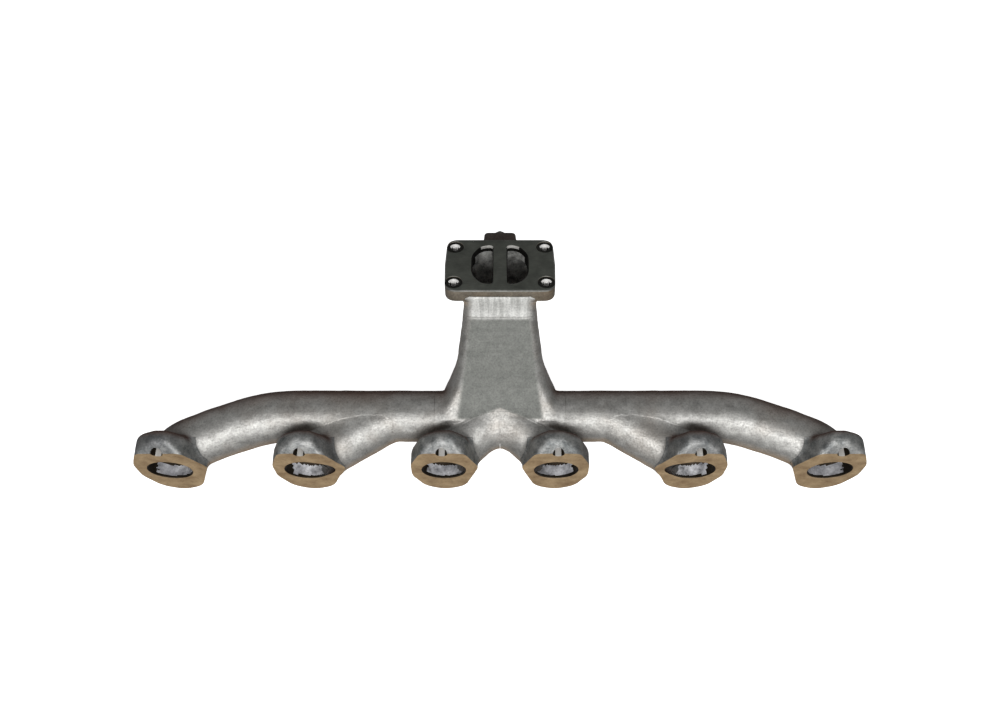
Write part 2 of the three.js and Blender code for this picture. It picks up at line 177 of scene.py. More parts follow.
def inset(outline, distance):
    """The outline moved in by a distance, along the mean of its neighbouring edges' normals."""
    ahead = np.roll(outline, -1, axis=0) - np.roll(outline, 1, axis=0)
    normal = np.stack([ahead[:, 1], -ahead[:, 0]], 1)
    normal /= np.linalg.norm(normal, axis=1)[:, None]
    area = np.sum(outline[:, 0] * np.roll(outline[:, 1], -1) - np.roll(outline[:, 0], -1) * outline[:, 1])
    return outline - normal * distance * np.sign(area)


def flange_outline(reach):
    return rounded_outline([
        (-4, FLANGE_TOP, 10), (-20, 43, 14), (-31, 13, 34), (-31, -14, 34), (-20, -42, 26),
        (-1, -52.5, 18), (20, -42, 24), (reach, 8, 13), (22, 40, 12), (11, FLANGE_TOP, 10),
    ])


def turbo_outline():
    w, h = TURBO_HALF
    return rounded_outline([
        (-w + TURBO_BOW, -h, TURBO_CORNER), (w - TURBO_BOW, -h, TURBO_CORNER), (w, 0, TURBO_BOW_RADIUS),
        (w - TURBO_BOW, h, TURBO_CORNER), (-w + TURBO_BOW, h, TURBO_CORNER), (-w, 0, TURBO_BOW_RADIUS),
    ])


def d_port_outline():
    reach, knee = D_PORT_OUTER + D_PORT_OVERSHOOT, D_PORT_HALF / 2
    return rounded_outline([
        (LAND_HALF, -D_PORT_HALF, 3), (D_PORT_SHOULDER, -D_PORT_HALF, 13), (reach, -knee, 22),
        (reach, knee, 22), (D_PORT_SHOULDER, D_PORT_HALF, 13), (LAND_HALF, D_PORT_HALF, 3),
    ])


def turbo_point(x, up, out):
    """Points given in the turbocharger flange's plane, in the row frame."""
    x, up, out = np.broadcast_arrays(np.asarray(x, float), up, out)
    return TURBO_CENTRE + x[..., None] * [1, 0, 0] + up[..., None] * TURBO_UP + out[..., None] * TURBO_NORMAL


# ---------- Distances, in millimetres, negative inside, on a lattice given by its x, y and z ----------


def lattice(low, high, step):
    """First index and the x, y and z of the lattice that covers a box."""
    first = [int(math.floor(v / step)) for v in low]
    last = [int(math.ceil(v / step)) for v in high]
    x, y, z = (np.arange(a, b + 1, dtype=np.float32) * step for a, b in zip(first, last))
    return first, x[:, None, None], y[None, :, None], z[None, None, :]


def smooth_union(a, b, reach):
    h = np.maximum(reach - np.abs(a - b), 0) / reach
    return np.minimum(a, b) - h * h * reach / 4


def rounded_intersection(a, b, radius):
    u, v = np.maximum(a + radius, 0), np.maximum(b + radius, 0)
    return np.minimum(np.maximum(a, b), -radius) + np.sqrt(u * u + v * v)


def path_distance(path, x, y, z):
    best = np.full(np.broadcast(x, y, z).shape, UNSET, np.float32)
    for a, b in zip(path[:-1].astype(np.float32), path[1:].astype(np.float32)):
        d = b - a
        t = ((x - a[0]) * d[0] + (y - a[1]) * d[1] + (z - a[2]) * d[2]) / (d @ d)
        t = np.clip(t, 0, 1)
        np.minimum(best, (x - a[0] - t * d[0]) ** 2 + (y - a[1] - t * d[1]) ** 2 + (z - a[2] - t * d[2]) ** 2,
                   out=best)
    return np.sqrt(best)


def outline_distance(outline, u, v):
    best = np.full(np.broadcast(u, v).shape, UNSET)
    inside = np.zeros(best.shape, bool)
    for a, b in zip(outline, np.roll(outline, -1, axis=0)):
        d = b - a
        if d @ d < 1e-9:
            continue
        t = np.clip(((u - a[0]) * d[0] + (v - a[1]) * d[1]) / (d @ d), 0, 1)
        best = np.minimum(best, (u - a[0] - t * d[0]) ** 2 + (v - a[1] - t * d[1]) ** 2)
        if a[1] != b[1]:
            inside ^= ((a[1] > v) != (b[1] > v)) & (u < (b[0] - a[0]) * (v - a[1]) / (b[1] - a[1]) + a[0])
    return np.where(inside, -1, 1) * np.sqrt(best)


def block_distance(number, x, y, z):
    """A port flange: its outline drawn back from the head face, with the sloping facet and a rounded back."""
    port_x, reach = PORTS[number]
    sides = outline_distance(flange_outline(reach), x[:, 0, 0][:, None] - port_x, z[0, 0, :][None, :])
    sides = sides[:, None, :]
    rise = FLANGE_TOP - FLANGE_FACE_TOP
    slope = (FLANGE_SLOPE_DEPTH * (z - FLANGE_FACE_TOP) - rise * y) / math.hypot(rise, FLANGE_SLOPE_DEPTH)
    body = rounded_intersection(sides, y - FLANGE_DEPTH, FLANGE_ROUND)
    return rounded_intersection(body, slope, SLOPE_ROUND)


def duct_sections():
    """Middle, direction across, direction along, half depth and half width of the duct's sections."""
    rows = catmull_rom(DUCT, 24)
    front, back, half = rows[:, 0:2], rows[:, 2:4], rows[:, 4]
    across = back - front
    depth = np.linalg.norm(across, axis=1) / 2
    across /= 2 * depth[:, None]
    return (front + back) / 2, across, np.stack([across[:, 1], -across[:, 0]], 1), depth, half


SECTIONS = duct_sections()


def evened(values, passes=4):
    """A table with the steps between neighbouring sections smoothed away."""
    for _ in range(passes):
        padded = np.pad(values, 1, mode="edge")
        across = padded[:-2, 1:-1] + padded[2:, 1:-1] + padded[1:-1, :-2] + padded[1:-1, 2:]
        values = (across + 4 * values) / 8
    return values


def duct_distance(x, y, z, grow=0.0):
    """The duct, from the nearest of its sections at each point of the lattice's y and z."""
    middle, across, along, depth, half = SECTIONS
    yy, zz = y[0, :, 0][:, None], z[0, 0, :][None, :]
    best = np.full((yy.shape[0], zz.shape[1]), UNSET)
    near = np.zeros(best.shape, int)
    for i in range(len(half)):
        off = np.abs((yy - middle[i, 0]) * along[i, 0] + (zz - middle[i, 1]) * along[i, 1])
        side = np.abs((yy - middle[i, 0]) * across[i, 0] + (zz - middle[i, 1]) * across[i, 1])
        cost = off + 3 * np.maximum(side - depth[i] - 8, 0)
        near = np.where(cost < best, i, near)
        best = np.minimum(cost, best)
    dy, dz = yy - middle[near, 0], zz - middle[near, 1]
    side = np.abs(dy * across[near, 0] + dz * across[near, 1])
    off = np.abs(dy * along[near, 0] + dz * along[near, 1])
    corner = DUCT_CORNER + grow
    u = np.abs(x) - (evened(half[near]) + grow - corner)[None]
    w = (evened(side - depth[near]) - (grow - corner))[None]
    flat = np.hypot(np.maximum(u, 0), np.maximum(w, 0)) + np.minimum(np.maximum(u, w), 0) - corner
    return np.maximum(flat, off[None] - 1.0).astype(np.float32)


PATHS = {number: catmull_rom(route, 10) for number, route in ROUTES.items()}
BARREL = np.array([(-BARREL_HALF - 8, ARM_Y, ARM_Z), (BARREL_HALF + 8, ARM_Y, ARM_Z)])


def reaches(path, x, y, z, margin):
    """Whether a path comes near a lattice."""
    low = path.min(0) - margin
    high = path.max(0) + margin
    return all(v.min() < b and v.max() > a for v, a, b in zip((x, y, z), low, high))


def up_and_out(y, z):
    """Where points lie along the turbocharger flange's face, and how far out from it."""
    y, z = y - TURBO_CENTRE[1], z - TURBO_CENTRE[2]
    return y * TURBO_UP[1] + z * TURBO_UP[2], y * TURBO_NORMAL[1] + z * TURBO_NORMAL[2]


def plate_distance(x, y, z):
    """The underside of the turbocharger flange, which the neck flares into."""
    up, out = up_and_out(y, z)
    u = np.abs(x) - TURBO_HALF[0] + PLATE_INSET[0]
    v = np.abs(up) - TURBO_HALF[1] + PLATE_INSET[1]
    return np.maximum(np.maximum(u, v), np.maximum(out, -TURBO_THICKNESS - out))


def apron_distance(x, y, z):
    """The neck's front wall where it flares out over the flange's near side."""
    up, out = up_and_out(y, z)
    rise = np.clip((out - APRON_START) / APRON_SPAN, 0, 1) ** 2
    front = APRON_FRONT - APRON_FLARE * rise - up
    sides = np.abs(x) - APRON_HALF - APRON_SPREAD * rise
    body = rounded_intersection(np.maximum(front, up + 20), out - APRON_TOP, 3.0)
    return np.maximum(rounded_intersection(body, sides, 4.0), APRON_FOOT - out)


def undulation(x, y, z, size, seed):
    """Slow, seeded unevenness between -1 and 1."""
    random = np.random.default_rng(seed)
    total = 0
    for _ in range(7):
        direction = random.normal(size=3)
        direction *= 2 * math.pi / (size * random.uniform(0.7, 1.5) * np.linalg.norm(direction))
        phase = random.uniform(0, 6.28)
        total = total + np.sin(x * direction[0] + y * direction[1] + z * direction[2] + phase)
    return np.clip(total / 3.5, -1, 1)


def fading(x, start, length, reach):
    """A fillet's reach, which fades where a branch merges into the pipe that it joins."""
    return reach * np.clip((start - x) / length, 0.05, 1)


FILLETS = {1: lambda x: 7.0, 2: lambda x: fading(x, -118, 36, 7.0), 3: lambda x: fading(x, -17, 22, 6.0)}


def skin_distance(x, y, z):
    """The outside of the whole cast body. Both halves are alike."""
    x = -np.abs(x)
    field = np.full(np.broadcast(x, y, z).shape, 50.0, np.float32)
    for number, path in PATHS.items():
        if reaches(path, x, y, z, 40):
            pipe = path_distance(path, x, y, z) - TUBE_RADIUS
            field = smooth_union(field, pipe, FILLETS[number](x))
    if x.max() > -BARREL_HALF - 30:
        twin = path_distance(PATHS[3], -x, y, z) - TUBE_RADIUS
        field = smooth_union(field, twin, CROWN_FILLET)
        field = np.minimum(field, path_distance(BARREL, x, y, z) - TUBE_RADIUS)
        field = smooth_union(field, duct_distance(x, y, z), DUCT_FILLET)
        field = smooth_union(field, plate_distance(x, y, z), PLATE_FILLET)
        field = smooth_union(field, apron_distance(x, y, z), APRON_FILLET)
    for number, (port_x, _) in PORTS.items():
        if x.min() < port_x + 60 and x.max() > port_x - 60:
            field = smooth_union(field, block_distance(number, x, y, z), BLOCK_FILLET)
    rough = SWELL[0] * undulation(x, y, z, *SWELL[1:]) + RIPPLE[0] * undulation(x, y, z, *RIPPLE[1:])
    return field + SHRINK + rough


def passage_hull(x, y, z):
    """The barrel's and the duct's inside, without the divider."""
    return np.minimum(path_distance(BARREL, x, y, z) - BORE_RADIUS, duct_distance(x, y, z, -WALL))


def passage_distance(x, y, z):
    """The gas passages, with the place of the divider."""
    x = -np.abs(x)
    cavity = np.full(np.broadcast(x, y, z).shape, 50.0, np.float32)
    if x.max() > -BARREL_HALF - 30:
        cavity = passage_hull(x, y, z)
    pipes = cavity
    for path in PATHS.values():
        if reaches(path, x, y, z, 30):
            pipes = smooth_union(pipes, path_distance(path, x, y, z) - BORE_RADIUS, PASSAGE_FILLET)
    streams = np.maximum(pipes, DIVIDER_HALF + DIVIDER_GAP + x)
    slot = np.maximum(cavity, -x - DIVIDER_HALF - 2 * DIVIDER_GAP)
    return np.minimum(streams, slot)


# ---------- Meshes ----------


def add_object(name, mesh):
    piece = bpy.data.objects.new(name + FINE, mesh)
    bpy.context.scene.collection.objects.link(piece)
    return piece


def link(name, points, faces):
    """A closed mesh object from points in millimetres, with its faces turned out."""
    mesh = bpy.data.meshes.new(name)
    mesh.from_pydata((np.asarray(points, float) * MM).tolist(), [], faces)
    bm = bmesh.new()
    bm.from_mesh(mesh)
    bmesh.ops.remove_doubles(bm, verts=bm.verts, dist=1e-7)
    if bm.calc_volume(signed=True) < 0:
        bmesh.ops.reverse_faces(bm, faces=bm.faces)
    bm.to_mesh(mesh)
    bm.free()
    return add_object(name, mesh)


def loft(name, rings, closed=False):
    """A body through rings of points. It is capped at both ends, or joined end to end when closed."""
    rings = np.asarray(rings, float)
    count, size = rings.shape[:2]
    faces = []
    for i in range(count if closed else count - 1):
        for j in range(size):
            k, m = (j + 1) % size, (i + 1) % count
            faces.append((i * size + j, i * size + k, m * size + k, m * size + j))
    if not closed:
        faces += [tuple(range(size))[::-1], tuple(range((count - 1) * size, count * size))]
    return link(name, rings.reshape(-1, 3), faces)


def block(name, low, high):
    (a, b, c), (d, e, f) = low, high
    return loft(name, [[(a, b, z), (d, b, z), (d, e, z), (a, e, z)] for z in (c, f)])


def half_space(name, point, normal):
    """A large block on the side of a plane that its normal points to."""
    n = np.asarray(normal, float) / np.linalg.norm(normal)
    u = np.cross(n, [1, 0, 0]) if abs(n[0]) < 0.9 else np.cross(n, [0, 1, 0])
    u /= np.linalg.norm(u)
    v = np.cross(n, u)
    corners = ((-1, -1), (1, -1), (1, 1), (-1, 1))
    ring = np.array([np.asarray(point, float) + FAR * (a * u + b * v) for a, b in corners])
    return loft(name, [ring, ring + FAR * n])


def bar(name, path, radius, sides=96):
    """A round bar along a path."""
    tangent = np.gradient(path, axis=0)
    tangent /= np.linalg.norm(tangent, axis=1)[:, None]
    side = np.cross(tangent, [0, 0, 1.0])
    side /= np.linalg.norm(side, axis=1)[:, None]
    top = np.cross(side, tangent)
    angle = np.linspace(0, 2 * math.pi, sides, endpoint=False)[None, :, None]
    return loft(name, path[:, None] + radius * (np.cos(angle) * side[:, None] + np.sin(angle) * top[:, None]))


def duct_bar(name, grow):
    """The duct as a closed mesh, to cut the castings apart with."""
    middle, across, _, depth, half = SECTIONS
    square = rounded_outline([(-1, -1, 0.3), (1, -1, 0.3), (1, 1, 0.3), (-1, 1, 0.3)])
    rings = []
    for i in range(len(half)):
        side = (square[:, 1] * (depth[i] + grow))[:, None]
        rings.append(np.column_stack([square[:, 0] * (half[i] + grow), middle[i] + side * across[i]]))
    return loft(name, rings)


def combine(piece, other, operation):
    """Joins, cuts or trims a piece by another closed mesh, which is then deleted."""
    modifier = piece.modifiers.new("combine", "BOOLEAN")
    modifier.object = other
    modifier.operation = operation
    modifier.solver = "MANIFOLD"
    graph = bpy.context.evaluated_depsgraph_get()
    result = bpy.data.meshes.new_from_object(piece.evaluated_get(graph))
    piece.modifiers.clear()
    spent = piece.data
    piece.data = result
    bpy.data.meshes.remove(spent)
    bpy.data.objects.remove(other)
    return piece


def carve(name, field, first, step):
    """The surface of a distance field, as a closed mesh of even quads."""
    field = field.astype(np.float32)
    for axis in range(3):
        edge = [slice(None)] * 3
        for end in (0, -1):
            edge[axis] = end
            field[tuple(edge)] = np.maximum(field[tuple(edge)], 1.0)
    grid = vdb.FloatGrid(5.0)
    grid.copyFromArray(np.ascontiguousarray(field), ijk=tuple(first))
    grid.transform = vdb.createLinearTransform(voxelSize=step)
    points, triangles, quads = grid.convertToPolygons(isovalue=0.0, adaptivity=0.0)
    points = settled(points.astype(float), quads)
    return link(name, points, quads.tolist() + triangles.tolist())


def settled(points, quads, passes=2):
    """Evens out the lattice's steps."""
    a = quads.ravel()
    b = np.roll(quads, -1, axis=1).ravel()
    count = np.bincount(a, minlength=len(points)) + np.bincount(b, minlength=len(points))
    for _ in range(passes):
        mean = np.zeros_like(points)
        for axis in range(3):
            ahead = np.bincount(a, points[b, axis], len(points))
            mean[:, axis] = ahead + np.bincount(b, points[a, axis], len(points))
        points = 0.5 * points + 0.5 * mean / np.maximum(count, 1)[:, None]
    return points


def cast(name, low, high):
    """The cast body inside a box, with its passages open."""
    first, x, y, z = lattice(low, high, LATTICE)
    return carve(name, np.maximum(skin_distance(x, y, z), -passage_distance(x, y, z)), first, LATTICE)


def mirror(piece, name):
    mesh = piece.data.copy()
    bm = bmesh.new()
    bm.from_mesh(mesh)
    for vert in bm.verts:
        vert.co.x = -vert.co.x
    bmesh.ops.reverse_faces(bm, faces=bm.faces)
    bm.to_mesh(mesh)
    bm.free()
    return add_object(name, mesh)


def crisp(piece, crease=math.radians(32)):
    """Smooth shading with sharp edges where faces meet at a steep angle."""
    bm = bmesh.new()
    bm.from_mesh(piece.data)
    bmesh.ops.dissolve_degenerate(bm, dist=2e-6, edges=bm.edges)
    for face in bm.faces:
        face.smooth = True
    for edge in bm.edges:
        edge.smooth = edge.is_manifold and edge.calc_face_angle() < crease
    bm.to_mesh(piece.data)
    bm.free()


# ---------- Castings ----------


def tidied(piece):
    """Keeps the largest shell and drops the crumbs that a cut leaves."""
    bm = bmesh.new()
    bm.from_mesh(piece.data)
    bm.verts.ensure_lookup_table()
    seen = set()
    shells = []
    for start in bm.verts:
        if start in seen:
            continue
        shell, front = [], [start]
        seen.add(start)
        while front:
            vert = front.pop()
            shell.append(vert)
            for edge in vert.link_edges:
                other = edge.other_vert(vert)
                if other not in seen:
                    seen.add(other)
                    front.append(other)
        shells.append(shell)
    shells.sort(key=len)
    for shell in shells[:-1]:
        bmesh.ops.delete(bm, geom=shell, context="VERTS")
    bm.to_mesh(piece.data)
    bm.free()
    return piece


def port_block(name, number, grow, low, high):
    port_x, reach = PORTS[number]
    outline = inset(flange_outline(reach), -grow)
    return loft(name, [[(port_x + u, y, z) for u, z in outline] for y in (low, high)])


def turned(name, centre, profile, sides=96):
    """A round body about a line along y through the centre (x, z), from a profile of (radius, y)."""
    angle = np.linspace(0, 2 * math.pi, sides, endpoint=False)
    return loft(name, [
        np.column_stack([centre[0] + r * np.cos(angle), np.full(sides, y), centre[1] + r * np.sin(angle)])
        for r, y in profile
    ])


def port_flange(number):
    port_x, reach = PORTS[number]
    first, x, y, z = lattice((port_x - 36, -5, -59), (port_x + reach + 5, 27, 56), FLANGE_LATTICE)
    piece = carve(f"port_flange_{number}", skin_distance(x, y, z), first, FLANGE_LATTICE)
    combine(piece, port_block("cut", number, BLOCK_MARGIN, 0, FLANGE_DEPTH - SEAM), "INTERSECT")
    near = PATHS[number][PATHS[number][:, 1] < FLANGE_DEPTH + 14]
    combine(piece, bar("bore", near, BORE_RADIUS), "DIFFERENCE")
    mouth = [(BORE_RADIUS + 1.4, -0.8), (BORE_RADIUS - 0.2, 0.8)]
    combine(piece, turned("mouth", (port_x, 0), mouth), "DIFFERENCE")
    hole = [(STUD_RADIUS, -1), (STUD_RADIUS, FLANGE_DEPTH + 5)]
    combine(piece, turned("stud", (port_x, STUD_Z), hole, 48), "DIFFERENCE")
    return tidied(piece)


def arm_bar(name, grow):
    return bar(name, PATHS[1], TUBE_RADIUS + grow)


def behind(name, grow):
    """All that belongs to the collector: the barrel, the duct and what lies behind the barrel's axis."""
    middle = bar(name, np.array([(x, ARM_Y, ARM_Z) for x in np.linspace(-90, 90, 19)]), TUBE_RADIUS + grow)
    combine(middle, duct_bar("duct", grow), "UNION")
    return combine(middle, block("back", (-90, ARM_Y - grow, -70), (90, 260, 200)), "UNION")


def runner(number, low, high):
    name = f"runner_{number}"
    piece = cast(name, low, high)
    margin = BLOCK_MARGIN + 2 * SEAM
    combine(piece, port_block("block", number, margin, -60, FLANGE_DEPTH + SEAM), "DIFFERENCE")
    if number == 1:
        keep = arm_bar("arm", CUT_MARGIN)
        combine(keep, block("outer end", (-400, -80, -80), (ARM_JOIN, 120, 90)), "UNION")
        combine(piece, keep, "INTERSECT")
        combine(piece, half_space("end", (-BARREL_HALF - SEAM, 0, 0), (1, 0, 0)), "DIFFERENCE")
    else:
        combine(piece, arm_bar("arm", CUT_MARGIN + 2 * SEAM), "DIFFERENCE")
    if number == 3:
        combine(piece, behind("behind", COLLECTOR_MARGIN + 2 * SEAM), "DIFFERENCE")
        combine(piece, half_space("middle", (-SEAM, 0, 0), (1, 0, 0)), "DIFFERENCE")
    combine(piece, half_space("head", (0, SEAM, 0), (0, -1, 0)), "DIFFERENCE")
    return tidied(piece)


def neck_plane():
    """A point on the joint between the collector and the neck, and the direction up the duct."""
    y0, z0, y1, z1, _ = DUCT[NECK_SPLIT]
    point = np.array([0, (y0 + y1) / 2, (z0 + z1) / 2])
    return point, np.array([0, z0 - z1, y1 - y0]) / math.hypot(z0 - z1, y1 - y0)


def collector():
    """The upper and the lower half of the collector."""
    point, up = neck_plane()
    whole = cast("collector_upper", (-68, 20, -22), (68, 186, 118))
    combine(whole, behind("behind", COLLECTOR_MARGIN), "INTERSECT")
    end = BARREL_HALF - SEAM
    combine(whole, block("ends", (-end, -50, -60), (end, 250, 200)), "INTERSECT")
    combine(whole, half_space("neck", point - SEAM * up, up), "DIFFERENCE")
    lower = add_object("collector_lower", whole.data.copy())
    combine(whole, half_space("split", (0, 0, ARM_Z + SEAM), (0, 0, -1)), "DIFFERENCE")
    combine(lower, half_space("split", (0, 0, ARM_Z - SEAM), (0, 0, 1)), "DIFFERENCE")
    return [tidied(whole), tidied(lower)]


def turbo_neck():
    point, up = neck_plane()
    neck = cast("turbo_neck", (-56, 92, 66), (56, 192, 142))
    combine(neck, half_space("split", point + SEAM * up, -up), "DIFFERENCE")
    levels = [(-TURBO_THICKNESS - SEAM, -2 * SEAM), (40, -2 * SEAM)]
    combine(neck, on_turbo("flange", turbo_outline(), levels), "DIFFERENCE")
    combine(neck, half_space("top", turbo_point(0, 0, APRON_TOP + 1), TURBO_NORMAL), "DIFFERENCE")
    return tidied(neck)


def flow_divider():
    first, x, y, z = lattice((-6, 24, -18), (6, 190, 138), LATTICE)
    gap = passage_hull(x, y, z) + DIVIDER_GAP
    plate = carve("flow_divider", gap, first, LATTICE)
    combine(plate, block("plate", (-DIVIDER_HALF, 0, -60), (DIVIDER_HALF, 260, 200)), "INTERSECT")
    under = turbo_point(0, 0, -TURBO_THICKNESS - DIVIDER_GAP)
    combine(plate, half_space("under", under, TURBO_NORMAL), "DIFFERENCE")
    return tidied(plate)


# ---------- The turbocharger flange and what is fitted to it ----------


def on_turbo(name, outline, levels):
    """A plate in the turbocharger flange's plane. Each level is (height, inset)."""
    rings = []
    for out, reach in levels:
        ring = inset(outline, reach) if reach else outline
        rings.append(turbo_point(ring[:, 0], ring[:, 1], out))
    return loft(name, rings)


def turned_on_turbo(name, place, profile, closed=False, sides=56):
    """A round body about the flange's normal, from a profile of (radius, height)."""
    angle = np.linspace(0, 2 * math.pi, sides, endpoint=False)
    x, up = place
    rings = [turbo_point(x + r * np.cos(angle), up + r * np.sin(angle), out) for r, out in profile]
    return loft(name, rings, closed)


PORT_LIP, PORT_SHADE = -2.6, -6.0                # heights where the ports' painted highlight lip ends, and where the painted dark shade band below it ends

INSERT_PLACES = [(sx * PATTERN[0] / 2, sy * PATTERN[1] / 2) for sy in (1, -1) for sx in (-1, 1)]


def turbo_flange():
    bottom = -TURBO_THICKNESS
    levels = [(bottom, 0.9), (bottom + 0.3, 0.3), (bottom + 0.9, 0), (-1.5, 0), (-0.45, 0.35), (0, 1.3)]
    flange = on_turbo("turbo_flange", turbo_outline(), levels)
    port = d_port_outline()
    for side in (1, -1):
        outline = port * (side, 1)
        mouth = [(bottom - 3, 0), (PORT_SHADE, 0), (PORT_LIP, 0), (-D_PORT_CHAMFER, 0),
                 (D_PORT_CHAMFER, -2 * D_PORT_CHAMFER)]
        combine(flange, on_turbo("port", outline, mouth), "DIFFERENCE")
    shelf = -INSERT_RECESS - INSERT_COLLAR_DEPTH - 0.1
    for place in INSERT_PLACES:
        seat = [(INSERT_RADIUS + 0.1, bottom - 1), (INSERT_RADIUS + 0.1, shelf),
                (INSERT_COLLAR + 0.15, shelf), (INSERT_COLLAR + 0.15, -0.3), (INSERT_COLLAR + 1.0, 0.6)]
        combine(flange, turned_on_turbo("seat", place, seat), "DIFFERENCE")
    return flange


def threaded_insert(number, place):
    top = -INSERT_RECESS
    bottom = -TURBO_THICKNESS + 0.3
    shelf = top - INSERT_COLLAR_DEPTH
    profile = [(INSERT_BORE + 0.6, bottom), (INSERT_RADIUS, bottom), (INSERT_RADIUS, shelf),
               (INSERT_COLLAR, shelf), (INSERT_COLLAR, top - 0.25), (INSERT_COLLAR - 0.25, top),
               (INSERT_SINK, top), (INSERT_BORE, top - (INSERT_SINK - INSERT_BORE))]
    out = profile[-1][1]
    while out - THREAD_PITCH > bottom + 0.2:
        profile += [(INSERT_BORE, out - 0.12 * THREAD_PITCH), (INSERT_BORE + 0.6, out - 0.5 * THREAD_PITCH),
                    (INSERT_BORE + 0.6, out - 0.62 * THREAD_PITCH), (INSERT_BORE, out - THREAD_PITCH)]
        out -= THREAD_PITCH
    return turned_on_turbo(f"threaded_insert_{number}", place, profile, closed=True)


def bevelled(piece, width, segments):
    modifier = piece.modifiers.new("bevel", "BEVEL")
    modifier.width = width * MM
    modifier.segments = segments
    modifier.limit_method = "ANGLE"
    modifier.angle_limit = math.radians(38)
    graph = bpy.context.evaluated_depsgraph_get()
    result = bpy.data.meshes.new_from_object(piece.evaluated_get(graph))
    piece.modifiers.clear()
    piece.data = result
    return piece


def upright(name, radius, levels, sides):
    """A bar standing along the flange's up direction in the middle of the boss. Each level is (up, inset)."""
    angle = (np.arange(sides) + (0.5 if sides == 6 else 0)) * 2 * math.pi / sides
    out = -BOSS_STEP - BOSS_THICKNESS / 2
    rings = []
    for up, less in levels:
        reach = radius - less
        rings.append(turbo_point(reach * np.cos(angle), up, out + reach * np.sin(angle)))
    return loft(name, rings)


BOSS_FOOT = TURBO_HALF[1] + 0.3
BOSS_SEAT = BOSS_FOOT + BOSS_REACH - PLUG_HEAD


def probe_boss():
    top_half = BOSS_HALF - BOSS_TAPER
    outline = rounded_outline([
        (-BOSS_HALF, BOSS_FOOT, 0.1), (BOSS_HALF, BOSS_FOOT, 0.1),
        (top_half, BOSS_SEAT, BOSS_ROUND), (-top_half, BOSS_SEAT, BOSS_ROUND),
    ])
    boss = on_turbo("probe_boss", outline, [(-BOSS_THICKNESS - BOSS_STEP, 0), (-BOSS_STEP, 0)])
    levels = [(BOSS_SEAT - PLUG_LENGTH - 0.3, 0), (BOSS_SEAT + 2, 0)]
    combine(boss, upright("bore", PLUG_SHANK + 0.15, levels, 48), "DIFFERENCE")
    return bevelled(boss, 0.9, 3)


def probe_plug():
    radius = PLUG_ACROSS / math.sqrt(3)
    top = BOSS_SEAT + PLUG_HEAD
    head = upright("probe_plug", radius, [(BOSS_SEAT + 0.2, 0), (top, 0)], 6)
    rounded = [(BOSS_SEAT, 0), (top - 0.7, 0), (top - 0.02, 1.2)]
    combine(head, upright("round", radius + 0.05, rounded, 64), "INTERSECT")
    shank = [(BOSS_SEAT - PLUG_LENGTH, 0.4), (BOSS_SEAT - PLUG_LENGTH + 0.4, 0), (BOSS_SEAT + 1, 0)]
    return combine(head, upright("shank", PLUG_SHANK, shank, 48), "UNION")


# ---------- Materials ----------


class Nodes:
    """A node tree that is built by short calls."""

    def __init__(self, name):
        self.material = bpy.data.materials.new(name)
        self.material.use_nodes = True
        self.tree = self.material.node_tree
        self.shader = self.tree.nodes["Principled BSDF"]
        self.place = self.tree.nodes.new("ShaderNodeTexCoord").outputs["Object"]

    def link(self, output, socket):
        self.tree.links.new(output, socket)

    def add(self, kind, **values):
        node = self.tree.nodes.new(kind)
        for key, value in values.items():
            setattr(node, key, value)
        return node

    def noise(self, scale, detail, roughness, stretch=(1, 1, 1)):
        mapping = self.add("ShaderNodeMapping")
        mapping.inputs["Scale"].default_value = stretch
        self.link(self.place, mapping.inputs["Vector"])
        noise = self.add("ShaderNodeTexNoise")
        noise.inputs["Scale"].default_value = scale
        noise.inputs["Detail"].default_value = detail
        noise.inputs["Roughness"].default_value = roughness
        self.link(mapping.outputs["Vector"], noise.inputs["Vector"])
        return noise.outputs["Fac"]

    def ramp(self, value, stops):
        """Colours or greys along a value. Each stop is (position, colour)."""
        ramp = self.add("ShaderNodeValToRGB")
        elements = ramp.color_ramp.elements
        while len(elements) < len(stops):
            elements.new(0.5)
        for element, (position, colour) in zip(elements, stops):
            element.position = position
            element.color = (*colour, 1) if isinstance(colour, tuple) else (colour, colour, colour, 1)
        self.link(value, ramp.inputs["Fac"])
        return ramp.outputs["Color"]

    def mix(self, factor, a, b, kind="MIX"):
        mix = self.add("ShaderNodeMix", data_type="RGBA", blend_type=kind)
        for socket, value in ((mix.inputs[0], factor), (mix.inputs[6], a), (mix.inputs[7], b)):
            if isinstance(value, bpy.types.NodeSocket):
                self.link(value, socket)
            else:
                socket.default_value = value if socket == mix.inputs[0] else (*value, 1)
        return mix.outputs[2]

    def add_values(self, value, offset, other):
        """value + offset + a little of another value."""
        scaled = self.add("ShaderNodeMath", operation="MULTIPLY_ADD")
        self.link(other, scaled.inputs[0])
        scaled.inputs[1].default_value = 0.5
        scaled.inputs[2].default_value = offset - 0.25
        total = self.add("ShaderNodeMath", operation="ADD")
        self.link(value, total.inputs[0])
        self.link(scaled.outputs[0], total.inputs[1])
        return total.outputs[0]

    def bump(self, layers):
        """Relief from several heights. Each layer is (height, depth in millimetres)."""
        normal = None
        for height, depth in layers:
            bump = self.add("ShaderNodeBump")
            bump.inputs["Strength"].default_value = 1.0
            bump.inputs["Distance"].default_value = depth * MM
            self.link(height, bump.inputs["Height"])
            if normal is not None:
                self.link(normal, bump.inputs["Normal"])
            normal = bump.outputs["Normal"]
        self.link(normal, self.shader.inputs["Normal"])

    def attribute(self, name):
        return self.add("ShaderNodeAttribute", attribute_name=name).outputs["Fac"]

    def finish(self, metallic, colour, roughness):
        for name, value in (("Metallic", metallic), ("Base Color", colour), ("Roughness", roughness)):
            if isinstance(value, bpy.types.NodeSocket):
                self.link(value, self.shader.inputs[name])
            else:
                self.shader.inputs[name].default_value = value
        return self.material
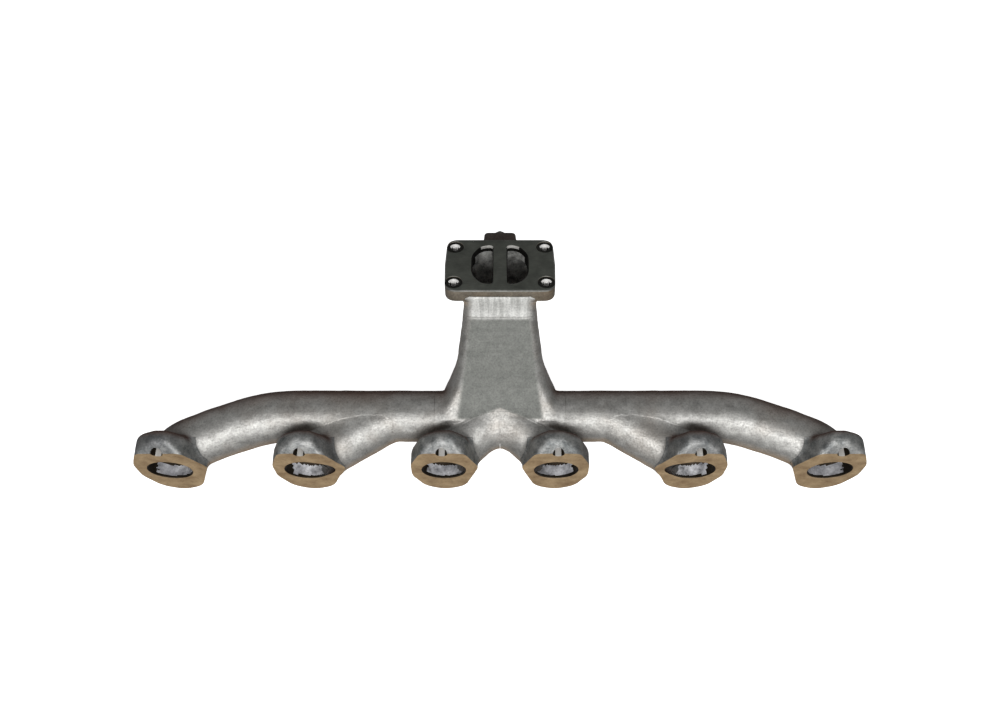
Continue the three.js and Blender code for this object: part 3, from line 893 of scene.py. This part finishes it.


# Tones of the ground panel, and of the painted highlight band (the bright mask) on the neck's flare.
GROUND_TONES = ((0.15, 0.155, 0.142), (0.20, 0.205, 0.188))
PAINTED_HIGHLIGHT_TONES = ((0.42, 0.42, 0.40), (0.85, 0.85, 0.82))


def grey(value):
    return value, value, value


def cast_metal(name, dark, light, tint, metallic=0.8, grain=1.0, rough=0.42, shaded=None):
    """Sand-cast iron: grains, pits and slow changes of shade.

    With shaded, faces that look back get painted shade in dark brown, faces that look down a painted warm
    reflection, and the mesh's ground mask and its bright mask, a painted highlight band, are shown.
    """
    n = Nodes(name)
    slow = n.noise(24, 3, 0.55)
    middle = n.noise(110, 4, 0.6)
    fine = n.noise(560, 3, 0.65)
    grit = n.noise(1500, 2, 0.6)
    base = n.ramp(middle, [(0.3, dark), (0.7, light)])
    colour = n.mix(n.ramp(slow, [(0.45, 0.0), (0.72, 0.6)]), base, tint)
    roughness = n.ramp(fine, [(0.25, rough + 0.16), (0.75, rough)])
    if shaded:
        # Painted shade and painted reflection: faces that look back are painted dark brown, faces that look
        # down a warm golden tone.
        normal = n.add("ShaderNodeSeparateXYZ")
        n.link(n.add("ShaderNodeNewGeometry").outputs["Normal"], normal.inputs["Vector"])
        behind = n.ramp(n.add_values(normal.outputs["Y"], 0.0, slow), [(0.05, 0.0), (0.70, 0.95)])
        below = n.ramp(n.add_values(normal.outputs["Z"], 0.5, slow), [(0.25, 0.9), (0.75, 0.0)])
        colour = n.mix(behind, colour, shaded[0])
        colour = n.mix(below, colour, shaded[1])
        metallic = n.mix(below, n.mix(behind, grey(metallic), grey(0.1)), grey(0.1))
        # The bright mask is a painted highlight band; the ground mask is a flat grey panel.
        ground, bright = n.attribute("ground"), n.attribute("bright")
        streaks = n.noise(260, 3, 0.6, (1, 0.1, 0.1))
        colour = n.mix(ground, colour, n.ramp(middle, [(0.3, GROUND_TONES[0]), (0.7, GROUND_TONES[1])]))
        colour = n.mix(bright, colour, n.ramp(streaks, [(0.3, PAINTED_HIGHLIGHT_TONES[0]), (0.7, PAINTED_HIGHLIGHT_TONES[1])]))
        metallic = n.mix(ground, metallic, grey(0.2))
        metallic = n.mix(bright, metallic, grey(0.3))
        roughness = n.mix(behind, roughness, grey(0.9))
        roughness = n.mix(ground, roughness, grey(0.6))
        n.link(n.mix(behind, grey(0.5), grey(0.08)), n.shader.inputs["Specular IOR Level"])
    speckle = n.ramp(fine, [(0.32, 0.62), (0.5, 0.95), (0.70, 1.2)])
    colour = n.mix(0.7, colour, speckle, "MULTIPLY")
    n.bump([(middle, 0.42 * grain), (fine, 0.20 * grain), (grit, 0.07 * grain)])
    return n.finish(metallic, colour, roughness)


def machined_metal(name, dark, light, rough, stretch, scale=500, depth=0.03, metallic=1.0):
    """Cut metal with fine tool marks and a little staining."""
    n = Nodes(name)
    marks = n.noise(scale, 3, 0.6, stretch)
    stain = n.noise(70, 4, 0.6)
    tone = n.ramp(stain, [(0.3, dark), (0.7, light)])
    shade = n.mix(0.45, tone, n.ramp(marks, [(0.3, 0.55), (0.7, 1.2)]), "MULTIPLY")
    n.bump([(stain, 0.10), (marks, depth)])
    return n.finish(metallic, shade, n.ramp(stain, [(0.3, rough + 0.15), (0.7, rough)]))


def finish_faces(piece, materials, choose):
    """Gives each face one of the materials, chosen by its middle and its normal, in millimetres."""
    piece.data.materials.clear()
    for material in materials:
        piece.data.materials.append(material)
    mesh = piece.data
    count = len(mesh.polygons)
    middle, normal = np.empty(count * 3), np.empty(count * 3)
    mesh.polygons.foreach_get("center", middle)
    mesh.polygons.foreach_get("normal", normal)
    index = choose(middle.reshape(-1, 3) / MM, normal.reshape(-1, 3)).astype(np.int32)
    mesh.polygons.foreach_set("material_index", index)


# The neck's front: its normal, and the direction in which its panel and its painted highlight band are told
# apart. Below the panel the crown over the inner branches falls away to both sides.
PANEL_NORMAL, PANEL_RISE = np.array([0, -0.8, 0.6]), np.array([0, 0.885, 0.465])
PANEL_TOP, PANEL_HALF, PANEL_SPREAD, BAND_HALF = 142.0, 26.0, 0.14, 27.0
CROWN_TOP, CROWN_SLOPE, CROWN_HALF = 60.0, 0.4, 26.0

# The port's bore is painted bright, as if lit, between two depths, up to some way beside its middle, and
# painted dark shade elsewhere. The stud hole is painted bright along a narrow tongue only, and painted dark
# shade elsewhere.
BRIGHT_FROM, BRIGHT_TO, BRIGHT_HALF, TONGUE_HALF = 2.6, 12.5, 16.5, 2.6


def port_flange_faces(number, side):
    port_x = PORTS[number][0] * side

    def choose(middle, normal):
        across = middle[:, 0] - port_x
        out = np.hypot(across, middle[:, 2])
        radial = (normal[:, 0] * across + normal[:, 2] * middle[:, 2]) / np.maximum(out, 1)
        face = (normal[:, 1] < -0.98) & (middle[:, 1] < 0.1)
        bored = (out < BORE_RADIUS + 1) & (radial < -0.3)
        depth = middle[:, 1]
        aside = np.abs(across) > BRIGHT_HALF + np.sin(2 * depth)
        rim = bored & ((depth < BRIGHT_FROM) | (depth > BRIGHT_TO) | aside)
        drilled = np.hypot(across, middle[:, 2] - STUD_Z) < STUD_RADIUS + 0.05
        arch = drilled & ((np.abs(across) > TONGUE_HALF) | (normal[:, 2] < 0.3))
        return np.select([face, rim, bored, arch, drilled], [1, 3, 2, 3, 4], 0)

    return choose


def neck_faces(middle, normal):
    """The far wall inside the neck, which shows through the turbocharger's ports and is painted lighter as if
    lit, and all the rest.
    """
    _, up, _ = along_turbo(middle)
    return ((normal @ TURBO_UP < -0.4) & (up > 0)).astype(int)


def ramped(value, low, high):
    return np.clip((value - low) / (high - low), 0, 1)


def mark_neck(piece):
    """Masks: the neck's flat front is ground, down to the crown over the inner branches, with a painted
    highlight band above.
    """
    mesh = piece.data
    co, normal = np.empty(len(mesh.vertices) * 3), np.empty(len(mesh.vertices) * 3)
    mesh.vertices.foreach_get("co", co)
    mesh.vertices.foreach_get("normal", normal)
    co, normal = co.reshape(-1, 3) / MM, normal.reshape(-1, 3)
    reach = np.abs(co[:, 0])
    rise = co @ PANEL_RISE
    ahead = ramped(normal @ PANEL_NORMAL, 0.55, 0.75)
    foot = CROWN_TOP - CROWN_SLOPE * np.minimum(reach, CROWN_HALF)
    side = PANEL_HALF + PANEL_SPREAD * np.maximum(PANEL_TOP - rise, 0)
    ground = ahead * ramped(rise, foot - 1, foot + 1) * ramped(-rise, -PANEL_TOP - 1.5, 1.5 - PANEL_TOP)
    ground *= ramped(-reach, -side - 3, 1 - side)
    bright = ramped(normal @ PANEL_NORMAL, 0.5, 0.8) * ramped(rise, PANEL_TOP - 1.5, PANEL_TOP + 3)
    bright *= ramped(-reach, -BAND_HALF - 3, 3 - BAND_HALF)
    for name, values in (("ground", ground), ("bright", bright)):
        mesh.attributes.new(name, "FLOAT", "POINT").data.foreach_set("value", values.astype(np.float32))


def along_turbo(middle):
    from_centre = middle - TURBO_CENTRE
    return from_centre[:, 0], from_centre @ TURBO_UP, from_centre @ TURBO_NORMAL


def turbo_flange_faces(middle, normal):
    x, up, out = along_turbo(middle)
    facing = normal @ TURBO_NORMAL
    face = (facing > 0.98) & (out > -0.1)
    port = (np.abs(x) < D_PORT_OUTER + 1) & (np.abs(up) < D_PORT_HALF + 1) & (facing < 0.9)
    # The ports' top lip is a painted highlight, and the port walls apart from the far walls are painted
    # shade.
    lip = port & (out > PORT_LIP) & (up > D_PORT_HALF - 2.5) & (np.abs(x) < 21)
    shade = port & (out > PORT_SHADE)
    deep = port & (out > -TURBO_THICKNESS) & (normal @ TURBO_UP < -0.5)
    edge = (facing > 0.2) & (out > -3)
    return np.select([face, lip, shade, deep, port, edge], [1, 2, 5, 3, 5, 4], 0)


# Painted light on the inserts: the far side of the countersink and bore is painted as a bright highlight, the
# rest as painted shade.
def insert_faces(place):
    def choose(middle, normal):
        x, up, _ = along_turbo(middle)
        radius = np.hypot(x - place[0], up - place[1])
        upper = (up - place[1]) / np.maximum(radius, 0.1)
        sink = (radius > INSERT_BORE + 0.7) & (radius < INSERT_SINK + 0.05) & (upper > 0.25)
        bore = (radius < INSERT_BORE + 0.7) & (upper > 0.75)
        return np.where(sink | bore, 0, 1)

    return choose


# Painted shade for faces that look back, away from the key light, and a painted warm reflection for faces
# that look down.
PAINTED_SHADE_AND_REFLECTION = ((0.125, 0.080, 0.064), (0.33, 0.225, 0.13))     # where a face looks back, and where it looks down
EVEN = (1, 1, 1)
IRON = cast_metal("cast iron", (0.31, 0.305, 0.29), (0.50, 0.495, 0.475), (0.31, 0.275, 0.24), shaded=PAINTED_SHADE_AND_REFLECTION)
BLOCK_IRON = cast_metal(
    "cast iron of the port flanges", (0.13, 0.14, 0.14), (0.40, 0.40, 0.39), (0.11, 0.11, 0.115),
    shaded=PAINTED_SHADE_AND_REFLECTION, grain=1.6)
FACE_IRON = machined_metal(
    "machined port face", (0.22, 0.14, 0.07), (0.46, 0.33, 0.185), 0.5, EVEN, metallic=0.15)
# BORED_IRON and HOLE_IRON paint the lit parts of the bores and stud holes bright; RIM_IRON paints their
# shade.
BORED_IRON = cast_metal(
    "bored port", (0.12, 0.12, 0.13), (0.95, 0.95, 0.98), (0.30, 0.30, 0.33), 0.25, 1.2, 0.3)
RIM_IRON = machined_metal(
    "tarnished rim of the bore", (0.03, 0.024, 0.018), (0.07, 0.055, 0.04), 0.5, EVEN)
HOLE_IRON = machined_metal(
    "drilled stud hole", (0.45, 0.43, 0.40), (0.8, 0.78, 0.74), 0.4, (1, 10, 1), metallic=0.2)
DARK_IRON = cast_metal(
    "dark iron", (0.06, 0.055, 0.05), (0.12, 0.11, 0.10), (0.09, 0.055, 0.045), grain=0.5)
SIDE_IRON = cast_metal(
    "flange side", (0.10, 0.085, 0.065), (0.20, 0.17, 0.13), (0.17, 0.12, 0.07), 0.3, 0.5)
TURBO_IRON = machined_metal(
    "turbocharger face", (0.055, 0.060, 0.050), (0.105, 0.112, 0.095), 0.5, (1, 9, 9), 160, metallic=0.3)
# LIP_IRON is a painted highlight on the ports' lip.
LIP_IRON = machined_metal(
    "lip of the ports", (0.40, 0.39, 0.37), (0.62, 0.61, 0.58), 0.35, EVEN, metallic=0.3)
SHADE_IRON = machined_metal(
    "step in the ports", (0.012, 0.012, 0.011), (0.03, 0.03, 0.027), 0.6, EVEN)
EDGE_IRON = machined_metal(
    "edge of the turbocharger flange", (0.20, 0.20, 0.185), (0.34, 0.34, 0.32), 0.4, EVEN)
# PORT_IRON is painted light: a lighter cast iron for the far walls inside the ports and the neck.
PORT_IRON = cast_metal(
    "inside of the ports", (0.08, 0.08, 0.075), (0.75, 0.75, 0.72), (0.16, 0.16, 0.15), 0.2, 2.0)
# STEEL is bright steel that also carries the inserts' painted highlight; COLLAR_STEEL is painted shade.
STEEL = machined_metal(
    "bright steel", (0.80, 0.79, 0.76), (0.95, 0.94, 0.92), 0.3, EVEN, 900, metallic=0.2)
COLLAR_STEEL = machined_metal(
    "dulled steel", (0.025, 0.025, 0.022), (0.05, 0.05, 0.045), 0.45, EVEN, 900)
PLUG_STEEL = machined_metal("plug", (0.22, 0.21, 0.2), (0.38, 0.37, 0.35), 0.35, EVEN, 900)

# ---------- The assembly ----------


def place(piece, slot):
    crisp(piece)
    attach(piece, "root")
    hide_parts(piece.name.removesuffix(FINE))


def plain(middle, normal):
    """One material for the whole piece."""
    return np.zeros(len(middle))


PORT_FLANGE_IRONS = [BLOCK_IRON, FACE_IRON, BORED_IRON, RIM_IRON, HOLE_IRON]
TURBO_FLANGE_IRONS = [SIDE_IRON, TURBO_IRON, LIP_IRON, PORT_IRON, EDGE_IRON, SHADE_IRON]

for number in PORTS:
    flange = port_flange(number)
    twin = mirror(flange, f"port_flange_{7 - number}")
    for piece, side in ((flange, 1), (twin, -1)):
        finish_faces(piece, PORT_FLANGE_IRONS, port_flange_faces(number, side))
        place(piece, "flange_iron")

# The part of the cast body from which each left-hand runner is cut
RUNNER_BOXES = {
    1: ((-350, -6, -24), (-60, 84, 42)),
    2: ((-224, -6, -32), (-79, 84, 42)),
    3: ((-88, -6, -32), (4, 84, 46)),
}
for number, (low, high) in RUNNER_BOXES.items():
    pipe = runner(number, low, high)
    for piece in (pipe, mirror(pipe, f"runner_{7 - number}")):
        finish_faces(piece, [IRON], plain)
        if number == 3:
            mark_neck(piece)
        place(piece, "cast_iron")

for piece in [*collector(), turbo_neck()]:
    finish_faces(piece, [IRON, PORT_IRON], neck_faces)
    mark_neck(piece)
    place(piece, "cast_iron")

divider = flow_divider()
finish_faces(divider, [IRON], plain)
place(divider, "cast_iron")

flange = turbo_flange()
finish_faces(flange, TURBO_FLANGE_IRONS, turbo_flange_faces)
place(flange, "dark_iron")

for number, spot in enumerate(INSERT_PLACES, 1):
    insert = threaded_insert(number, spot)
    finish_faces(insert, [STEEL, COLLAR_STEEL], insert_faces(spot))
    place(insert, "bright_steel")

boss = probe_boss()
finish_faces(boss, [DARK_IRON], plain)
place(boss, "dark_iron")

plug = probe_plug()
finish_faces(plug, [PLUG_STEEL], plain)
place(plug, "bright_steel")

# ---------- Floor, light and camera ----------

floor_material = Nodes("pale floor")
floor_material.shader.inputs["Emission Color"].default_value = (1, 1, 1, 1)
floor_material.shader.inputs["Emission Strength"].default_value = 0.9
floor_material.finish(0.0, (0.92, 0.92, 0.92, 1), 0.9)
floor = block("floor", (-6000, -6000, -58.5), (6000, 6000, -54.6))
floor.data.materials.append(floor_material.material)
floor.visible_diffuse = False
floor.visible_glossy = False


def soft_light(name, spot, target, size, power):
    data = bpy.data.lights.new(name, "AREA")
    data.shape = "RECTANGLE"
    data.size, data.size_y = size
    data.energy = power
    light = bpy.data.objects.new(name, data)
    light.location = spot
    light.rotation_euler = (Vector(target) - Vector(spot)).to_track_quat("-Z", "Y").to_euler()
    bpy.context.scene.collection.objects.link(light)


soft_light("key", (0.0, -1.05, 1.15), (0, 0.05, 0.02), (1.8, 0.35), 22)
soft_light("fill", (0.0, -1.3, 0.25), (0, 0.05, 0.02), (1.8, 0.4), 5)

world = bpy.data.worlds.new("studio")
bpy.context.scene.world = world
world.use_nodes = True
world.node_tree.nodes["Background"].inputs["Color"].default_value = (1, 1, 1, 1)
world.node_tree.nodes["Background"].inputs["Strength"].default_value = 0.25

camera_data = bpy.data.cameras.new("camera")
camera_data.lens = 34.2
camera_data.sensor_width = 36.0
camera = bpy.data.objects.new("camera", camera_data)
camera.location = (0, -0.3268, 0.8483)
camera.rotation_euler = Vector((0, 0.465, -0.885)).to_track_quat("-Z", "Y").to_euler()
bpy.context.scene.collection.objects.link(camera)
bpy.context.scene.camera = camera
bpy.context.scene.view_settings.view_transform = "Standard"
